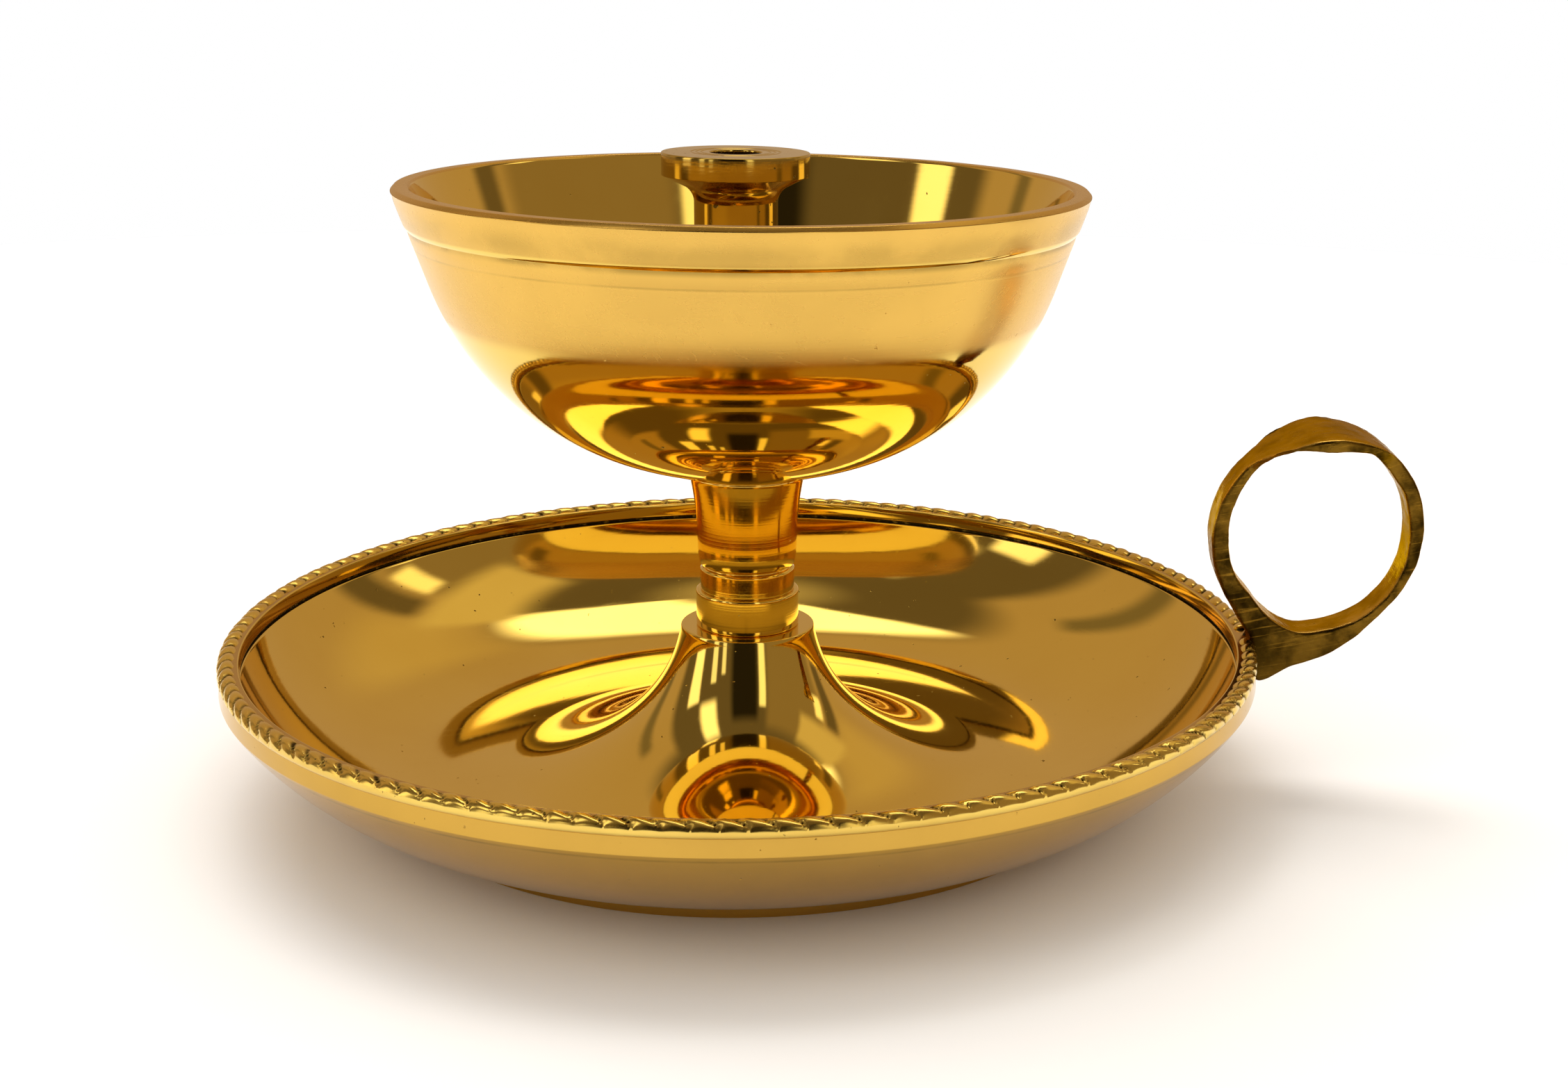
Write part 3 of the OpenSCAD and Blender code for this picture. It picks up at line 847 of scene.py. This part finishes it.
def filed_brass(name):
    """The cast finger ring: satin on its outer face, with painted shade where it faces down, as inside the
    hole, and towards its lower end; its flat sides filed, and dark with tarnish and painted shade.
    """
    material = bpy.data.materials.new(name)
    s = Shader(material)
    place, x, y, z, _ = polar(s, HOLE_X)
    facing = s.add("ShaderNodeSeparateXYZ", {0: s.side()})
    flat = s.ramp(s.maths("ABSOLUTE", facing.outputs[1]), 0.45, 0.85)
    cloud = s.noise(place, 0.22, 4.0)
    grain = s.noise(place, 1.1, 3.0, 0.55)
    slant = s.maths("SUBTRACT", z, s.product(x, 0.2))
    file_marks = stretched(s, (x, slant, y), (0.16, 3.2, 0.6))
    top = s.mix(s.ramp(cloud, 0.35, 0.7), shade(SATIN_BRASS, 0.95), shade(SATIN_DARK, 0.75))
    # Painted shade on the faces that turn down.
    top = s.mix(s.ramp(facing.outputs[2], 0.45, -0.25), top, shade(BRASS_DARK, 1.3))
    # The flat sides: dark tarnish deepened with painted shade, with lighter file marks.
    side = s.mix(s.ramp(cloud, 0.35, 0.65), shade(BRASS_DARK, 0.85), shade(BRASS_DARK, 0.10))
    side = s.mix(s.ramp(file_marks, 0.56, 0.75, 0.0, 0.6), side, shade(BRASS_DARK, 1.6))
    tint = s.mix(flat, top, side)
    tint = s.mix(s.ramp(grain, 0.66, 0.74, 0.0, 0.6), tint, shade(BRASS_DARK, 0.3))
    # Painted shade towards the ring's lower end, where it meets the dish.
    low = s.ramp(z, HANDLE_LOW.z + 9.0, HANDLE_LOW.z + 1.0, 0.0, 0.7)
    tint = s.mix(low, tint, shade(BRASS_DARK, 0.3))
    rough = s.maths("ADD", s.ramp(flat, 0.0, 1.0, 0.20, 0.30), s.ramp(grain, 0.3, 0.7, -0.05, 0.08))
    normal = s.bump(cloud, 0.25 * MM)
    normal = s.bump(file_marks, 0.03 * MM, normal)
    normal = s.bump(grain, 0.02 * MM, normal)
    s.finish(tint, rough, normal, CAST_EDGE)
    return material


def dress(material, *pieces):
    """Gives the pieces this material as their only one."""
    for piece in pieces:
        piece.data.materials.clear()
        piece.data.materials.append(material)


# ---------------------------------------------------------------- build
saucer = make_saucer()
rope_edge = make_rope()
handle = make_handle()
stud = make_stud()
washer = make_washer()
nut = make_nut()
collar = make_collar()
stem = make_stem()
bowl = make_bowl()
holder = make_holder()

rim_groove = Groove(RIM_IN_R + 0.12, GROOVE_Z - 0.1, GROOVE_Z + GROOVE_W + 0.1)
# The dish's dark satin colour outside is partly its finish and partly painted shade for the shadowed floor it
# mirrors.
dish_satin = Satin(-9.0, 41.0, 0.10, SATIN_DARK, ((CREASE_Z - 0.1, 0.25, 0.35),))
bowl_satin = Satin(50.8, 20.0, 0.21, SATIN_BRASS, (
    (BOWL_TOP - LIP_H, 0.8, 0.5), (BOWL_TOP - 6.9, 0.22, 0.25), (BOWL_TOP - 3.2, 2.2, 0.22),
))
rope_hollows = Rope(DISH_R - ROPE_R, DISH_TOP - ROPE_R, ROPE_R)

dish_brass = brass(
    "dish_brass", BRASS_BRIGHT, BRASS_WARM, roughness=0.035, rings=1.2, ring_depth=0.002, wave_depth=0.015,
    pit_share=0.03, satin=dish_satin, groove=rim_groove,
)
bowl_brass = brass(
    "bowl_brass", BRASS_BRIGHT, BRASS_WARM, roughness=0.04, rings=1.5, ring_depth=0.003, wave_depth=0.015,
    pit_share=0.01, satin=bowl_satin,
)
rope_brass = brass(
    "rope_brass", BRASS_BRIGHT, BRASS_DEEP, roughness=0.14, rings=1.0, ring_depth=0.002, wave_depth=0.02,
    pit_share=0.06, rope=rope_hollows,
)
turned_brass = brass(
    "turned_brass", BRASS_BRIGHT, BRASS_WARM, roughness=0.06, rings=3.0, ring_depth=0.004, wave_depth=0.01,
    pit_share=0.02,
)
# The wick holder's brass is the turned brass darkened all over: painted shade for the dark room its flange
# mirrors.
holder_brass = brass(
    "holder_brass", shade(BRASS_BRIGHT, 0.8), shade(BRASS_DEEP, 0.6), roughness=0.06, rings=3.0,
    ring_depth=0.004, wave_depth=0.02, pit_share=0.08,
)
plain_brass = brass(
    "plain_brass", BRASS_WARM, BRASS_DEEP, roughness=0.28, rings=2.0, ring_depth=0.01, wave_depth=0.02,
    pit_share=0.05,
)
dress(dish_brass, saucer)
dress(bowl_brass, bowl)
dress(rope_brass, rope_edge)
dress(turned_brass, collar, stem)
dress(holder_brass, holder)
dress(plain_brass, stud, washer, nut)
dress(filed_brass("cast_brass"), handle)


# ---------------------------------------------------------------- floor, light and camera
FLOOR_R = 0.55
FLOOR_WHITE = (0.90, 0.90, 0.91, 1.0)


def make_floor():
    """A round white table. Past it the camera sees the world's plain white, and the brass the dim room."""
    turn = np.arange(SMALL_SEGMENTS) * 2 * math.pi / SMALL_SEGMENTS
    edge = [(FLOOR_R * math.cos(a), FLOOR_R * math.sin(a), 0) for a in turn]
    mesh = bpy.data.meshes.new("floor")
    mesh.from_pydata(edge, [], [range(SMALL_SEGMENTS)])
    floor = bpy.data.objects.new("floor", mesh)
    bpy.context.scene.collection.objects.link(floor)
    material = bpy.data.materials.new("floor_paper")
    s = Shader(material)
    shell = s.add("ShaderNodeBsdfPrincipled", {
        "Base Color": FLOOR_WHITE, "Roughness": 0.9, "Specular IOR Level": 0.1,
    })
    s.add("ShaderNodeOutputMaterial", {"Surface": shell.outputs[0]})
    mesh.materials.append(material)


# The studio round the lamp, as patches of (lowest and highest azimuth, lowest and highest elevation, soft
# edge, colour), in degrees. Azimuth 0 is +Y, behind the lamp, and grows towards +X. Later ones cover earlier.
ROOM = (0.15, 0.11, 0.07, 1)
STUDIO = (
    (70, 146, -5, 60, 6, (0.30, 0.21, 0.12, 1)),
    (-80, 72, -5, 56, 5, (0.51, 0.355, 0.21, 1)),
    (20, 55, 28, 52, 8, (0.62, 0.45, 0.24, 1)),
    (-180, 180, 80, 95, 6, (0.50, 0.40, 0.27, 1)),
    (-35, 55, 57, 80, 3, (2.6, 2.4, 2.1, 1)),
    (70, 78, 25, 38, 2, (1.6, 1.4, 1.0, 1)),
    (50, 98, 42, 60, 4, (0.75, 0.58, 0.32, 1)),
    (-137, -115, 38, 63, 4, (1.9, 1.7, 1.4, 1)),
    (-150, -144, -5, 20, 1.5, (1.3, 1.2, 1.0, 1)),
    (-136, -128, -5, 25, 1.5, (1.4, 1.3, 1.1, 1)),
    (-112, -97, -5, 35, 2, (1.8, 1.6, 1.3, 1)),
    (148, 158, -5, 45, 2, (1.5, 1.4, 1.1, 1)),
    (160, 200, -5, 55, 5, (0.02, 0.015, 0.01, 1)),
    (56, 67, 4, 40, 3, (0.16, 0.115, 0.07, 1)),
    (-62, -54, 4, 44, 3, (0.22, 0.165, 0.10, 1)),
)
SEEN_WHITE = (1.0, 1.0, 1.0, 1.0)


def make_world():
    """The studio's walls, panels and ceiling light. What the camera sees past the floor is plain white."""
    world = bpy.data.worlds.new("studio")
    bpy.context.scene.world = world
    s = Shader(world)
    way = s.add("ShaderNodeSeparateXYZ", {0: s.add("ShaderNodeTexCoord").outputs["Generated"]})
    to_degrees = 180 / math.pi
    azimuth = s.product(s.maths("ARCTAN2", way.outputs[0], way.outputs[1]), to_degrees)
    elevation = s.product(s.maths("ARCSINE", way.outputs[2]), to_degrees)
    colour = ROOM
    for left, right, low, high, soft, patch in STUDIO:
        turn = s.maths("WRAP", azimuth, 360.0, 0.0) if right > 180 else azimuth
        share = s.product(
            s.ramp(turn, left - soft, left + soft),
            s.ramp(turn, right + soft, right - soft),
            s.ramp(elevation, low - soft, low + soft),
            s.ramp(elevation, high + soft, high - soft),
        )
        colour = s.mix(share, colour, patch)
    seen = s.add("ShaderNodeLightPath").outputs["Is Camera Ray"]
    colour = s.mix(seen, colour, SEEN_WHITE)
    background = s.add("ShaderNodeBackground", {"Color": colour})
    s.add("ShaderNodeOutputWorld", {"Surface": background.outputs[0]})


# Soft lights that keep the floor evenly white, as (name, way it shines, strength, spread in degrees, colour).
SUNS = (
    ("soft_sun", (0.32, -0.42, -0.85), 0.85, 34, (1.0, 0.99, 0.98)),
    ("sky_dome", (0.05, -0.05, -1.0), 2.15, 150, (0.94, 0.975, 1.0)),
)


def make_suns():
    """Adds the soft lights. The brass doesn't mirror them."""
    for name, way, energy, spread, colour in SUNS:
        data = bpy.data.lights.new(name, "SUN")
        data.energy = energy
        data.angle = math.radians(spread)
        data.color = colour
        sun = bpy.data.objects.new(name, data)
        sun.rotation_euler = Vector(way).to_track_quat("-Z", "Y").to_euler()
        sun.visible_glossy = False
        bpy.context.scene.collection.objects.link(sun)


CAMERA_PLACE = (0.0225, -0.25596, 0.10269)
CAMERA_DOWN = 0.275
CAMERA_ROLL = 0.020
CAMERA_LENS = 48.06
CAMERA_SHIFT = -0.0895


def make_camera():
    """The camera, with its angles in radians and its lens in millimetres for a 36 mm wide sensor."""
    data = bpy.data.cameras.new("camera")
    data.sensor_width = 36.0
    data.lens = CAMERA_LENS
    data.shift_x = CAMERA_SHIFT
    data.clip_start = 0.01
    camera = bpy.data.objects.new("camera", data)
    pitch = Matrix.Rotation(math.pi / 2 - CAMERA_DOWN, 4, "X")
    roll = Matrix.Rotation(CAMERA_ROLL, 4, "Z")
    camera.matrix_world = Matrix.Translation(CAMERA_PLACE) @ pitch @ roll
    bpy.context.scene.collection.objects.link(camera)
    bpy.context.scene.camera = camera


make_floor()
make_world()
make_suns()
make_camera()
bpy.context.scene.view_settings.view_transform = "Standard"
bpy.context.scene.cycles.glossy_bounces = 8
